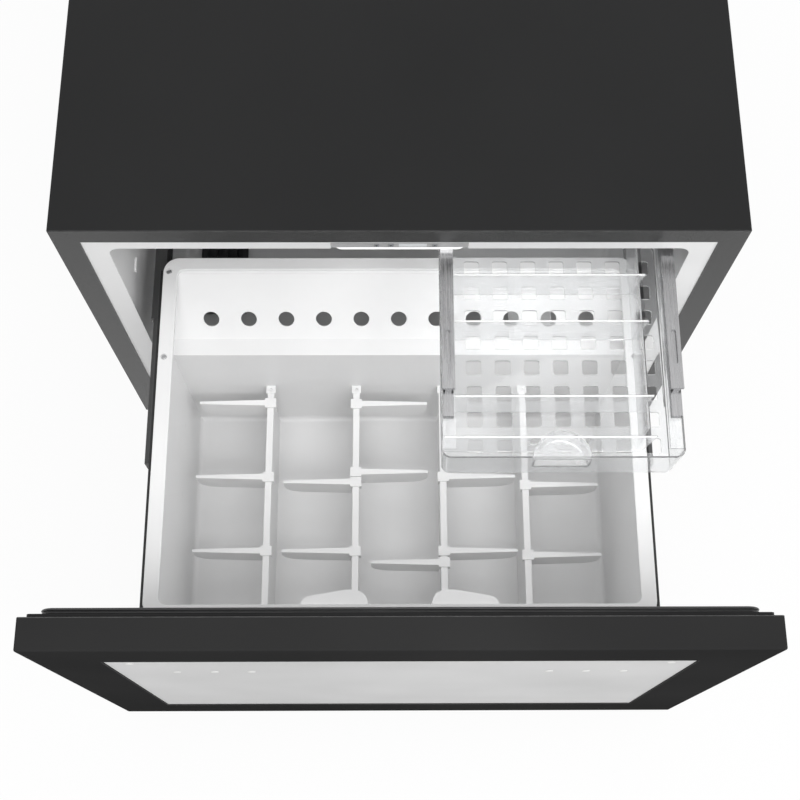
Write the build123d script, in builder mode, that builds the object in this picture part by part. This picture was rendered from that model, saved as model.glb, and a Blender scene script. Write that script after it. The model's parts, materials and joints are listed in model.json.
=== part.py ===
from build123d import *
import os
from math import atan2, cos, radians, sin

# Single-drawer built-in refrigerator, drawn with its drawer and its clear tray pulled out.
# Millimetres. X to the right, Y into the cabinet, Z up. The origin is on the floor, under the
# middle of the whole object as drawn. Depths ("behind") are measured from the cabinet's front
# and drops ("below") from its top.

os.makedirs("parts", exist_ok=True)

# ---------------------------------------------------------------- overall sizes
width = 864.0
shell_height = 633.0
cabinet_depth = 585.0
foot_height = 22.0
sheet = 1.5                     # painted steel sheet
back_inset = 2.5                # rear edge of the wrapper to the back panel
travel = 454.7                  # drawer, from drawn position to shut
shut_gap = 0.3                  # gasket to front frame when shut
door_slab = 38.5
door_step = 5.5                 # black inner door behind the slab
gasket_depth = 9.0

# ---------------------------------------------------------------- front frame and liner
frame_side = 34.0
frame_head = 29.0
frame_depth = 18.0
mitre_gap = 0.3
lip_set_back = 1.5
lip_thickness = 2.0
lip_side = 30.0                 # white lip between the black frame and the opening
lip_head = 19.0
liner_wall = 2.0
liner_corner = 15.0
boss_back = 60.0                # oblong bosses on the liner's side walls
boss_drop = 207.0
boss_length = 22.0
boss_height = 9.0
boss_stand = 2.0
liner_depth = 562.0
hump_depth = 423.0              # front of the hump over the machine compartment
hump_drop = 300.0
hump_ledge = 24.0
rear_slope = 48.0               # degrees from level, shared by the hump and the bin
foam_over_machine = 37.0

# ---------------------------------------------------------------- door
door_drop = 27.0
door_height = 618.0
door_border_side = 80.0
door_border_head = 81.6
door_border_foot = 90.4
door_wall = 2.5
door_round = 3.0
inner_door_inset = 8.0
plateau_inset = 30.0
plateau_depth = 4.0
gasket_inset = 17.0
gasket_width = 13.0
front_sheet = 1.0
front_sheet_gap = 0.4
plug_radius = 5.0
plug_drop = 202.0
plug_columns = (186.0, 232.0, 279.0)
outer_plug_drop = 131.0
outer_plug_column = 324.0

# ---------------------------------------------------------------- bin
rim_drop = 200.0
rim_outer = 327.5
rim_width = 20.0
rim_thickness = 6.0
rim_corner = 22.0
rim_back = 67.0                 # behind the cabinet's front
bin_front = 440.0               # ahead of the cabinet's front
bin_half = 322.0
bin_wall = 2.5
bin_flange = 3.0
bin_floor_drop = 542.0
bin_ledge_drop = 280.0
bin_rear_wall = 46.7            # ahead of the cabinet's front
air_hole_radius = 11.3
air_hole_pitch = 53.3
air_hole_count = 11
air_hole_down_slope = 76.5
pad_drop = 203.0
pad_depth = 60.0

# ---------------------------------------------------------------- dividers and their fins
divider_cap_drop = 402.0
divider_columns = (-194.0, -64.0, 66.0, 188.0)
cap_width = 10.0
cap_thickness = 5.0
divider_plate = 3.0
collar_width = 16.5
collar_length = 14.6
collar_height = 13.0
fin_clearance = 0.4
fin_length = 107.0
fin_depth = 45.0
fin_root = 9.0
fin_tip = 4.0
# rail number, distance ahead of the cabinet's front, side the fin points to
fins = (
    (1, 74.5, -1), (1, 191.5, -1), (1, 304.0, -1),
    (2, 76.0, 1), (2, 184.0, 1), (2, 199.5, -1), (2, 304.5, -1),
    (3, 191.5, 1), (3, 304.5, 1), (3, 321.5, -1),
    (4, 204.5, 1), (4, 311.0, 1),
)

# ---------------------------------------------------------------- drawer slides
arm_outer = 332.5
arm_plate = 2.5
arm_lip = 2.5
arm_height = 100.0
arm_back = 60.0
slide_drop = 285.0
inner_rail_depth = 10.0
inner_rail_height = 35.0
member_gap = 0.5
member_wall = 2.0
middle_rib_depth = 6.0
middle_rib_height = 26.0
middle_front = 211.5            # ahead of the cabinet's front, as drawn
middle_length = 398.0
rail_front = 6.0
rail_length = 412.0
stand_off_shares = (0.38, 0.65, 0.92)

# ---------------------------------------------------------------- clear tray
tray_left = 50.5
tray_width = 298.5
tray_rim_drop = 80.0
tray_height = 70.0
tray_front = 266.0              # ahead of the cabinet's front, as drawn
tray_length = 326.0
tray_wall = 2.2
tray_draft = 1.5
tray_flange = 18.0
tray_corner = 12.0
tray_hole = 20.0
tray_hole_round = 3.0
tray_hole_columns = 7
tray_hole_column_pitch = 38.0
tray_hole_first_column = 97.0
tray_hole_rows = 8
tray_hole_row_pitch = 36.0
tray_hole_first_row = 228.0     # ahead of the cabinet's front
long_partition = tray_left + tray_width - 41.0
partition_rows = (14.0, 80.0, 181.0, 235.0)
partition_height = 58.0
pull_radius = 36.0
pull_slot_width = 42.0
pull_slot_height = 20.0
pull_drop = 9.0

# ---------------------------------------------------------------- tray rails
tray_rail_inset = 9.0           # tray's outer edge to the middle of its rail
tray_rail_half = 10.0
tray_rail_wall = 1.5
tray_rail_height = 17.5
tray_rail_front = 40.0
tray_rail_length = 380.0
tray_rail_slot = 4.5
runner_front = 215.0            # ahead of the cabinet's front, as drawn
runner_length = 335.0
runner_head_height = 4.5
runner_bar_half = 6.5
runner_bar_height = 9.0
runner_over_tray = 0.5

# ---------------------------------------------------------------- control panel
panel_half = 86.0
panel_depth = 36.0
panel_face = 1.0
panel_head = 33.0
panel_height = 11.0
diffuser_height = 8.0
button_size = 6.5
display_height = 8.0
button_stand = 0.6
button_clearance = 0.3
button_columns = {"light_button": -29.0, "lower_button": -11.0, "raise_button": 44.0}
display_left = -1.0
display_width = 35.0

# ---------------------------------------------------------------- machine compartment
machine_room = 23.0             # beside the compressor
machine_ceiling = 296.0
machine_step = 42.0
compressor_column = 230.0
compressor_radius = 52.0
machine_front = cabinet_depth - 2 * compressor_radius - machine_room
compressor_height = 130.0
grommet_height = 12.0
shaft_radius = 2.5
shaft_clearance = 0.05
tube_radius = 4.0

# ---------------------------------------------------------------- places that follow
top_height = foot_height + shell_height
door_stack = door_slab + door_step + gasket_depth
open_reach = travel + shut_gap
front_y = (open_reach + door_stack - cabinet_depth) / 2
half_width = width / 2


def behind(distance):
    """Y of a plane behind the cabinet's front."""
    return front_y + distance


def ahead(distance):
    """Y of a plane in front of the cabinet's front."""
    return front_y - distance


def below(drop):
    """Z of a level below the cabinet's top."""
    return top_height - drop


def upright(y):
    """Sketch plane facing the front, X across and Z up. A negative extrusion goes backwards."""
    return Plane.XZ.offset(-y)


def crosswise(x):
    """Sketch plane facing the right, Y across and Z up."""
    return Plane.YZ.offset(x)


def block(x0, x1, y0, y1, z0, z1, mode=Mode.ADD):
    """A plain box between two corners, added to the part being built."""
    with Locations(((x0 + x1) / 2, (y0 + y1) / 2, (z0 + z1) / 2)):
        Box(abs(x1 - x0), abs(y1 - y0), abs(z1 - z0), mode=mode)


def save(builder, label):
    builder.part.label = label
    export_step(builder.part, f"parts/{label}.step")


# ================================================================ cabinet shell
with BuildPart() as outer_wrapper:
    with BuildSketch(upright(behind(0))):
        with Locations((0, foot_height + shell_height / 2)):
            Rectangle(width, shell_height)
        with Locations((0, foot_height + (shell_height - sheet) / 2)):
            Rectangle(width - 2 * sheet, shell_height - sheet, mode=Mode.SUBTRACT)
    extrude(amount=-cabinet_depth)
    top_edges = outer_wrapper.edges().filter_by(Axis.Y).group_by(Axis.Z)[-1]
    fillet(top_edges, sheet * 0.9)
    front_edges = [
        edge for edge in outer_wrapper.edges().group_by(Axis.Y)[0]
        if abs(edge.center().X) > half_width - 0.4 * sheet
        or edge.center().Z > top_height - 0.4 * sheet
    ]
    chamfer(front_edges, sheet * 0.6)
save(outer_wrapper, "outer_wrapper")

frame_outer_x = half_width - sheet
frame_inner_x = half_width - frame_side
frame_outer_low = foot_height
frame_outer_high = top_height - sheet
frame_inner_low = foot_height + frame_side
frame_inner_high = below(frame_head)
frame_outer = (
    (-frame_outer_x, frame_outer_low), (frame_outer_x, frame_outer_low),
    (frame_outer_x, frame_outer_high), (-frame_outer_x, frame_outer_high),
)
frame_inner = (
    (-frame_inner_x, frame_inner_low), (frame_inner_x, frame_inner_low),
    (frame_inner_x, frame_inner_high), (-frame_inner_x, frame_inner_high),
)

with BuildPart() as front_frame:
    for corner in range(4):
        following = (corner + 1) % 4
        with BuildSketch(upright(behind(0))):
            with BuildLine():
                Polyline(
                    frame_outer[corner], frame_outer[following],
                    frame_inner[following], frame_inner[corner], close=True,
                )
            make_face()
            offset(amount=-mitre_gap / 2, kind=Kind.INTERSECTION)
        extrude(amount=-frame_depth)
save(front_frame, "front_frame")

# ---------------------------------------------------------------- liner, foam and base
opening_half = frame_inner_x - lip_side
opening_high = below(frame_head + lip_head)
opening_low = frame_inner_low + lip_side
slope_rise = sin(radians(rear_slope)) / cos(radians(rear_slope))
slope_foot_y = behind(hump_depth + hump_ledge)
slope_top_z = below(hump_drop) + (behind(liner_depth) - slope_foot_y) * slope_rise


def liner_solid(front_end, grow):
    """The space inside the liner as one solid, grown outwards by a wall."""
    outline = (
        (front_end, opening_high), (behind(liner_depth), opening_high),
        (behind(liner_depth), slope_top_z), (slope_foot_y, below(hump_drop)),
        (behind(hump_depth), below(hump_drop)), (behind(hump_depth), opening_low),
        (front_end, opening_low),
    )
    with BuildPart() as space:
        with BuildSketch(Plane.YZ):
            with BuildLine():
                Polyline(*outline, close=True)
            make_face()
            if grow > 0:
                offset(amount=grow, kind=Kind.INTERSECTION)
        extrude(amount=opening_half + grow, both=True)
        long_edges = space.edges().filter_by(Axis.Y)
        levels = (opening_high + grow, opening_low - grow)
        outer_edges = [e for e in long_edges if min(abs(e.center().Z - z) for z in levels) < 0.1]
        fillet(outer_edges, liner_corner + grow)
    return space.part


panel_high = below(panel_head)
panel_low = below(panel_head + panel_height)
panel_fit = 0.5


def panel_recess(mode):
    """Room for the control panel in the liner and the foam."""
    block(
        -panel_half - panel_fit, panel_half + panel_fit, behind(-1), behind(panel_depth + panel_fit),
        panel_low - diffuser_height - panel_fit, panel_high + panel_fit, mode,
    )


liner_outside = liner_solid(behind(lip_set_back), liner_wall)
liner_inside = liner_solid(behind(-10), 0)

with BuildPart() as inner_liner:
    add(liner_outside)
    block(
        -half_width, half_width, behind(-20), behind(lip_set_back), 0, top_height, Mode.SUBTRACT,
    )
    block(
        -frame_inner_x, frame_inner_x, behind(lip_set_back), behind(lip_set_back + lip_thickness),
        frame_inner_low, frame_inner_high,
    )
    add(liner_inside, mode=Mode.SUBTRACT)
    panel_recess(Mode.SUBTRACT)
    for side in (-1, 1):
        with BuildSketch(crosswise(side * (opening_half - boss_stand))):
            with Locations((behind(boss_back), below(boss_drop))):
                SlotOverall(boss_length, boss_height)
        extrude(amount=side * (boss_stand + liner_wall / 2))
save(inner_liner, "inner_liner")

rear_face = behind(cabinet_depth - back_inset)
base_low = foot_height
base_high = foot_height + sheet
machine_low_ceiling = below(machine_ceiling + machine_step * slope_rise)
machine_outline = (
    (behind(machine_front), base_high), (behind(machine_front), machine_low_ceiling),
    (behind(machine_front + machine_step), below(machine_ceiling)),
    (rear_face - sheet, below(machine_ceiling)),
)

with BuildPart() as insulation_foam:
    block(
        -frame_outer_x, frame_outer_x, behind(frame_depth), rear_face - sheet,
        base_high, frame_outer_high,
    )
    block(
        -frame_inner_x, frame_inner_x, behind(lip_set_back + lip_thickness), behind(frame_depth),
        frame_inner_low, frame_inner_high,
    )
    add(liner_outside, mode=Mode.SUBTRACT)
    panel_recess(Mode.SUBTRACT)
    with BuildSketch(Plane.YZ):
        with BuildLine():
            Polyline(*machine_outline, (rear_face - sheet, base_high), close=True)
        make_face()
    extrude(amount=half_width, both=True, mode=Mode.SUBTRACT)
save(insulation_foam, "insulation_foam")

with BuildPart() as base_plate:
    block(
        -frame_outer_x, frame_outer_x, behind(frame_depth), behind(machine_front + sheet),
        base_low, base_high,
    )
    with BuildSketch(Plane.YZ):
        with BuildLine():
            Polyline(*machine_outline)
            offset(amount=sheet, side=Side.RIGHT)
        make_face()
    extrude(amount=frame_outer_x, both=True)
save(base_plate, "base_plate")

with BuildPart() as compressor_tray:
    block(
        -frame_outer_x, frame_outer_x, behind(machine_front + sheet), rear_face,
        base_low, base_high,
    )
    lip_high = base_high + 14
    block(
        -frame_outer_x, frame_outer_x, behind(machine_front + sheet), behind(machine_front + 2 * sheet),
        base_high, lip_high,
    )
save(compressor_tray, "compressor_tray")

screw_head_radius = 4.0
screw_head_height = back_inset - 0.5
back_screw_inset = 12.0
split_height = below(machine_ceiling)
back_screws = [
    (x, z)
    for x in (-half_width + back_screw_inset + sheet, 0, half_width - back_screw_inset - sheet)
    for z in (base_high + back_screw_inset, split_height - back_screw_inset,
              split_height + back_screw_inset, top_height - sheet - back_screw_inset)
]

with BuildPart() as back_panel:
    block(-frame_outer_x, frame_outer_x, rear_face - sheet, rear_face, split_height, frame_outer_high)
    swage_width = 2 * frame_outer_x - 120
    swage_height = frame_outer_high - split_height - 120
    with BuildSketch(upright(rear_face - sheet / 2)):
        with Locations((0, (split_height + frame_outer_high) / 2)):
            RectangleRounded(swage_width, swage_height, 20)
            RectangleRounded(swage_width - 16, swage_height - 16, 12, mode=Mode.SUBTRACT)
    extrude(amount=-sheet, mode=Mode.SUBTRACT)
save(back_panel, "back_panel")

with BuildPart() as rear_grille:
    block(-frame_outer_x, frame_outer_x, rear_face - sheet, rear_face, base_high, split_height)
    with BuildSketch(upright(rear_face - 2 * sheet)):
        with Locations((-160, (base_high + split_height) / 2), (240, (base_high + split_height) / 2)):
            with GridLocations(30, 26, 9, 8):
                SlotOverall(24, 7)
    extrude(amount=-3 * sheet, mode=Mode.SUBTRACT)
save(rear_grille, "rear_grille")

with BuildPart() as back_panel_screws:
    with Locations(*[Location((x, rear_face, z), (-90, 0, 0)) for x, z in back_screws]):
        Cylinder(
            screw_head_radius, screw_head_height, align=(Align.CENTER, Align.CENTER, Align.MIN),
        )
    heads = back_panel_screws.edges().filter_by(GeomType.CIRCLE).group_by(Axis.Y)[-1]
    fillet(heads, 1.2)
save(back_panel_screws, "back_panel_screws")

foot_pad_radius = 19.0
foot_pad_height = 8.0
foot_column = half_width - 42
foot_rows = (behind(45), behind(cabinet_depth - 40))
with BuildPart() as levelling_feet:
    for foot_y in foot_rows:
        with Locations((-foot_column, foot_y, 0), (foot_column, foot_y, 0)):
            Cylinder(
                foot_pad_radius, foot_pad_height, align=(Align.CENTER, Align.CENTER, Align.MIN),
            )
            Cylinder(5, foot_height, align=(Align.CENTER, Align.CENTER, Align.MIN))
    pad_edges = levelling_feet.edges().filter_by(GeomType.CIRCLE).group_by(Axis.Z)
    fillet(pad_edges[0], 1.5)
    for foot_y in foot_rows:
        for foot_x in (-foot_column, foot_column):
            with BuildSketch(Plane.XY.offset(foot_pad_height)):
                with Locations((foot_x, foot_y)):
                    RegularPolygon(10, 6)
            extrude(amount=6)
save(levelling_feet, "levelling_feet")

# ================================================================ cold air parts
cover_front = 530.0
cover_thickness = 2.5
cover_middle_post = 190.0
cover_half = opening_half - 1
cover_back = behind(cover_front + cover_thickness)
cover_low = below(hump_drop) + (cover_back - slope_foot_y) * slope_rise + 0.3
cover_high = opening_high - 0.3

with BuildPart() as air_cover:
    with BuildSketch(upright(behind(cover_front))):
        with Locations((0, (cover_low + cover_high) / 2)):
            Rectangle(2 * cover_half, cover_high - cover_low)
        with Locations((-190, cover_high - 45), (170, cover_high - 45)):
            with GridLocations(13, 0, 18, 1):
                SlotOverall(56, 6, rotation=90, mode=Mode.SUBTRACT)
    extrude(amount=-cover_thickness)
    for post_x in (-cover_half + 14, cover_middle_post, cover_half - 14):
        block(
            post_x - 4, post_x + 4, cover_back, behind(liner_depth),
            cover_low + 45, cover_low + 60,
        )
    cover_corners = air_cover.edges().filter_by(Axis.Y).group_by(Axis.Z)[-1]
    fillet(cover_corners.sort_by(Axis.X)[0], liner_corner)
    cover_corners = air_cover.edges().filter_by(Axis.Y).group_by(Axis.Z)[-1]
    fillet(cover_corners.sort_by(Axis.X)[-1], liner_corner)
save(air_cover, "air_cover")


def coil(x0, x1, middle_y, heights, fin_width, fin_pitch, fin_thickness, bracket_back):
    """A finned tube coil: a serpentine tube, its fins and two end brackets."""
    bend = (heights[1] - heights[0]) / 2
    low = min(heights) - 10
    high = max(heights) + 10
    with BuildPart() as made:
        with BuildLine(Plane.XZ.offset(-middle_y)) as path:
            for row, height in enumerate(heights):
                start, end = ((x0, x1), (x1, x0))[row % 2]
                Line((start, height), (end, height))
                if row + 1 < len(heights):
                    swing = bend if end > start else -bend
                    ThreePointArc(
                        (end, height), (end + swing, height + bend), (end, heights[row + 1]),
                    )
        with BuildSketch(Plane.YZ.offset(x0)):
            with Locations((middle_y, heights[0])):
                Circle(tube_radius)
        sweep(path=path.wire())
    tube = made.part
    with BuildPart() as plates:
        fin_count = int((x1 - x0 - 2 * fin_pitch) / fin_pitch) + 1
        first = (x0 + x1) / 2 - (fin_count - 1) * fin_pitch / 2
        with BuildSketch(*[crosswise(first + i * fin_pitch) for i in range(fin_count)]):
            with Locations((middle_y, (low + high) / 2)):
                Rectangle(fin_width, high - low)
            with Locations(*[(middle_y, height) for height in heights]):
                Circle(tube_radius, mode=Mode.SUBTRACT)
        extrude(amount=fin_thickness)
    with BuildPart() as brackets:
        reach = bracket_back - (middle_y - fin_width / 2)
        with BuildSketch(crosswise(x0 + 2), crosswise(x1 - 4)):
            with Locations((bracket_back - reach / 2, (low + high) / 2)):
                Rectangle(reach, high - low)
            with Locations(*[(middle_y, height) for height in heights]):
                Circle(tube_radius, mode=Mode.SUBTRACT)
        extrude(amount=2)
    with BuildPart() as whole:
        add(tube)
        add(plates.part)
        add(brackets.part)
    return whole


evaporator_heights = [below(158 - 20 * i) for i in range(5)]
evaporator_coil = coil(
    -330, 170, behind(547.25), evaporator_heights, 24, 12, 0.8, behind(liner_depth),
)
save(evaporator_coil, "evaporator_coil")


def fan_housing(plane, radius, depth, foot_reach):
    """A fan ring with a motor on struts; the shaft points along the plane's normal."""
    with BuildPart(plane) as made:
        Cylinder(radius + 4, depth)
        Cylinder(radius + 2, depth, mode=Mode.SUBTRACT)
        with PolarLocations((radius + 2) / 2, 3, start_angle=90):
            with Locations((0, 0, -depth / 2 + 1.5)):
                Box(radius + 3, 6, 3)
        with Locations((0, 0, -depth / 2 + 4)):
            Cylinder(13, 8)
        Cylinder(shaft_radius, depth - 4)
        for side in (-1, 1):
            with Locations((side * (radius + 3 + foot_reach / 2), 0, -depth / 2 + 1.5)):
                Box(foot_reach + 2, 14, 3)
    return made


def fan_rotor(plane, radius, depth, blades):
    """A hub with pitched blades, bored for the motor's shaft."""
    with BuildPart(plane) as made:
        blade_length = radius - 11
        with PolarLocations(0, blades):
            with Locations(Location((11 + blade_length / 2 - 0.5, 0, 3), (32, 0, 0))):
                Box(blade_length + 1, 16, 1.4)
        with Locations((0, 0, 3.5)):
            Cylinder(12, depth - 11)
            Cylinder(shaft_radius + shaft_clearance, depth, mode=Mode.SUBTRACT)
    return made


evaporator_fan_depth = 26.0
evaporator_fan_plane = Plane(
    origin=(262, behind(liner_depth) - evaporator_fan_depth / 2, below(118)),
    x_dir=(1, 0, 0), z_dir=(0, -1, 0),
)
evaporator_fan_housing = fan_housing(evaporator_fan_plane, 38, evaporator_fan_depth, 12)
save(evaporator_fan_housing, "evaporator_fan_housing")
evaporator_fan = fan_rotor(evaporator_fan_plane, 37, evaporator_fan_depth, 7)
save(evaporator_fan, "evaporator_fan")

vent_left = -338.0
vent_right = -258.0
with BuildPart() as floor_vent:
    block(
        vent_left, vent_right, behind(150), behind(hump_depth - 4),
        opening_low + 1, opening_low + 6,
    )
    block(
        vent_left + 4, vent_right - 4, behind(154), behind(hump_depth - 8),
        opening_low, opening_low + 1,
    )
    with BuildSketch(Plane.XY.offset(opening_low + 6)):
        with Locations(((vent_left + vent_right) / 2, behind(285))):
            with GridLocations(17, 0, 4, 1):
                SlotOverall(240, 9, rotation=90)
    extrude(amount=-4.5, mode=Mode.SUBTRACT)
save(floor_vent, "floor_vent")

# ================================================================ control panel and light
with BuildPart() as control_panel:
    block(
        -panel_half, panel_half, behind(panel_face), behind(panel_depth), panel_low, panel_high,
    )
    button_z = (panel_low + panel_high) / 2
    pocket = button_size + 2 * button_clearance
    for button_x in button_columns.values():
        block(
            button_x - pocket / 2, button_x + pocket / 2, behind(0), behind(panel_face + 5),
            button_z - pocket / 2, button_z + pocket / 2, Mode.SUBTRACT,
        )
    block(
        display_left, display_left + display_width, behind(0), behind(panel_face + 1.5),
        button_z - display_height / 2, button_z + display_height / 2, Mode.SUBTRACT,
    )
save(control_panel, "control_panel")

with BuildPart() as display_window:
    block(
        display_left, display_left + display_width, behind(panel_face + 0.3),
        behind(panel_face + 1.5), button_z - display_height / 2, button_z + display_height / 2,
    )
save(display_window, "display_window")

for button_name, button_x in button_columns.items():
    with BuildPart() as button:
        block(
            button_x - button_size / 2, button_x + button_size / 2,
            behind(panel_face - button_stand), behind(panel_face + 4),
            button_z - button_size / 2, button_z + button_size / 2,
        )
        button_edges = button.faces().sort_by(Axis.Y)[0].edges()
        fillet(button_edges, 0.4)
    save(button, button_name)

with BuildPart() as light_diffuser:
    diffuser_middle = behind(panel_face + panel_depth / 2)
    with BuildSketch(Plane.XY.offset(panel_low)):
        with Locations((0, diffuser_middle)):
            RectangleRounded(2 * panel_half, panel_depth - 1, 14)
    extrude(amount=-diffuser_height)
    fillet(light_diffuser.faces().sort_by(Axis.Z)[0].edges(), 2.5)
save(light_diffuser, "light_diffuser")

# ================================================================ drawer slides
slide_z = below(slide_drop)
middle_web = arm_outer + inner_rail_depth + member_gap + 0.5
rib_outer = middle_web + member_wall + middle_rib_depth
rail_web = rib_outer + member_gap + 0.5
middle_half_height = inner_rail_height / 2 + member_gap + member_wall
rail_half_height = middle_rib_height / 2 + member_gap + member_wall


with BuildPart() as slide_rails:
    # Fixed members: channels open inwards, each on three stand-offs from the liner.
    y0 = behind(rail_front)
    y1 = behind(rail_front + rail_length)
    lip_inner = middle_web + member_wall + member_gap
    for side in (-1, 1):
        block(
            side * rail_web, side * (rail_web + member_wall), y0, y1,
            slide_z - rail_half_height, slide_z + rail_half_height,
        )
        for edge in (-1, 1):
            block(
                side * lip_inner, side * (rail_web + member_wall), y0, y1,
                slide_z + edge * rail_half_height,
                slide_z + edge * (rail_half_height - member_wall),
            )
        for share in stand_off_shares:
            middle = y0 + share * rail_length
            block(
                side * (rail_web + member_wall), side * opening_half, middle - 18, middle + 18,
                slide_z - 8, slide_z + 8,
            )
save(slide_rails, "slide_rails")

with BuildPart() as slide_middles:
    # Middle members: channels round the arms' rails, with ribs that run in the fixed rails.
    y0 = ahead(middle_front)
    y1 = y0 + middle_length
    lip_inner = arm_outer + 4
    for side in (-1, 1):
        block(
            side * middle_web, side * (middle_web + member_wall), y0, y1,
            slide_z - middle_half_height, slide_z + middle_half_height,
        )
        for edge in (-1, 1):
            block(
                side * lip_inner, side * (middle_web + member_wall), y0, y1,
                slide_z + edge * middle_half_height,
                slide_z + edge * (middle_half_height - member_wall),
            )
        block(
            side * (middle_web + member_wall), side * rib_outer, y0, y1,
            slide_z - middle_rib_height / 2, slide_z + middle_rib_height / 2,
        )
    ends = slide_middles.edges().filter_by(Axis.X).group_by(Axis.Y)[0]
    fillet(ends.group_by(Axis.Z)[0] + ends.group_by(Axis.Z)[-1], 4)
save(slide_middles, "slide_middles")

arm_top = below(rim_drop + rim_thickness + bin_flange)
arm_low = slide_z - 23
inner_door_back = ahead(open_reach + gasket_depth - plateau_depth)

with BuildPart() as slide_arms:
    # Drawer-side arms: plates with a lip under the bin's flange and the inner slide rail.
    slope_start = ahead(bin_rear_wall)
    slope_end = slope_start + (arm_top - 8 - arm_low) / slope_rise
    arm_end = behind(arm_back - 8)
    for side in (-1, 1):
        with BuildSketch(crosswise(side * arm_outer)):
            with BuildLine():
                Polyline(
                    (inner_door_back, arm_top), (arm_end, arm_top), (arm_end, arm_top - 8),
                    (slope_end, arm_top - 8), (slope_start, arm_low), (inner_door_back, arm_low),
                    close=True,
                )
            make_face()
        extrude(amount=-side * arm_plate)
        block(
            side * (bin_half + bin_wall + 1), side * arm_outer, inner_door_back, arm_end,
            arm_top - arm_lip, arm_top,
        )
        block(
            side * arm_outer, side * (arm_outer + inner_rail_depth), inner_door_back,
            ahead(bin_rear_wall + 4), slide_z - inner_rail_height / 2,
            slide_z + inner_rail_height / 2,
        )
        block(
            side * (bin_half + bin_wall + 1), side * (arm_outer - arm_plate), inner_door_back,
            inner_door_back + 3, arm_low, arm_top - arm_lip,
        )
save(slide_arms, "slide_arms")

# ================================================================ door
door_front = ahead(open_reach + door_stack)
door_back = door_front + door_slab
door_high = below(door_drop)
door_low = door_high - door_height
door_middle_z = (door_high + door_low) / 2
sheet_half = half_width - door_border_side
sheet_high = door_high - door_border_head
sheet_low = door_low + door_border_foot
sheet_height = sheet_high - sheet_low
sheet_middle_z = (sheet_high + sheet_low) / 2

with BuildPart() as door_frame:
    block(-half_width, half_width, door_front, door_back, door_low, door_high)
    fillet(door_frame.edges().filter_by(Axis.Y), door_round)
    fillet(door_frame.faces().sort_by(Axis.Y)[0].edges(), door_round * 0.9)
    block(
        -half_width + door_wall, half_width - door_wall, door_front + door_wall, door_back,
        door_low + door_wall, door_high - door_wall, Mode.SUBTRACT,
    )
    block(
        -sheet_half, sheet_half, door_front, door_front + door_wall, sheet_low, sheet_high,
        Mode.SUBTRACT,
    )
save(door_frame, "door_frame")

plugs = [(side * x, below(plug_drop)) for x in plug_columns for side in (-1, 1)]
plugs += [(side * outer_plug_column, below(outer_plug_drop)) for side in (-1, 1)]
sheet_y = door_front + door_wall - front_sheet

with BuildPart() as door_front_sheet:
    with BuildSketch(upright(sheet_y)):
        with Locations((0, sheet_middle_z)):
            Rectangle(2 * (sheet_half - front_sheet_gap), sheet_height - 2 * front_sheet_gap)
        with Locations(*plugs):
            Circle(plug_radius, mode=Mode.SUBTRACT)
    extrude(amount=-front_sheet)
save(door_front_sheet, "door_front_sheet")

with BuildPart() as panel_hole_plugs:
    with BuildSketch(upright(sheet_y - 0.6)):
        with Locations(*plugs):
            Circle(plug_radius)
    extrude(amount=-front_sheet - 0.6)
    fillet(panel_hole_plugs.edges().filter_by(GeomType.CIRCLE).group_by(Axis.Y)[0], 0.5)
save(panel_hole_plugs, "panel_hole_plugs")

with BuildPart() as door_foam:
    block(
        -half_width + door_wall, half_width - door_wall, door_front + door_wall, door_back,
        door_low + door_wall, door_high - door_wall,
    )
save(door_foam, "door_foam")

inner_door_half = half_width - inner_door_inset
with BuildPart() as inner_door:
    with BuildSketch(upright(door_back)):
        with Locations((0, door_middle_z)):
            RectangleRounded(2 * inner_door_half, door_height - 2 * inner_door_inset, 6)
    extrude(amount=-door_step)
    with BuildSketch(upright(door_back + door_step)):
        with Locations((0, door_middle_z)):
            RectangleRounded(
                2 * (half_width - plateau_inset), door_height - 2 * plateau_inset, 10,
            )
    extrude(amount=-plateau_depth)
    fillet(inner_door.faces().sort_by(Axis.Y)[-1].edges(), 1.5)
save(inner_door, "inner_door")

with BuildPart() as door_gasket:
    with BuildSketch(upright(door_back + door_step)):
        with Locations((0, door_middle_z)):
            RectangleRounded(
                2 * (half_width - gasket_inset), door_height - 2 * gasket_inset, 8,
            )
            RectangleRounded(
                2 * (half_width - gasket_inset - gasket_width),
                door_height - 2 * (gasket_inset + gasket_width), 4, mode=Mode.SUBTRACT,
            )
    extrude(amount=-gasket_depth)
    fillet(door_gasket.faces().sort_by(Axis.Y)[-1].edges(), 2.2)
    with BuildSketch(upright(door_back + door_step + gasket_depth * 0.4)):
        with Locations((0, door_middle_z)):
            RectangleRounded(
                2 * (half_width - gasket_inset) + 4, door_height - 2 * gasket_inset + 4, 8,
            )
            RectangleRounded(
                2 * (half_width - gasket_inset) - 3, door_height - 2 * gasket_inset - 3, 7,
                mode=Mode.SUBTRACT,
            )
    extrude(amount=-1.6, mode=Mode.SUBTRACT)
save(door_gasket, "door_gasket")

# ================================================================ bin
rim_z = below(rim_drop)
bin_top = rim_z - rim_thickness
bin_floor_z = below(bin_floor_drop)
ledge_z = below(bin_ledge_drop)
rim_inner_back = behind(rim_back) - rim_width + 3.4
slope_low_y = rim_inner_back - (rim_z - ledge_z) / slope_rise
slope_at_flange = slope_low_y + (bin_top - ledge_z) / slope_rise
bin_inner_front = ahead(bin_front) + rim_width
bin_outline = (
    (bin_inner_front - 3, bin_top), (slope_at_flange, bin_top), (slope_low_y, ledge_z),
    (ahead(bin_rear_wall), ledge_z), (ahead(bin_rear_wall), bin_floor_z),
    (bin_inner_front - 3, bin_floor_z),
)


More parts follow.
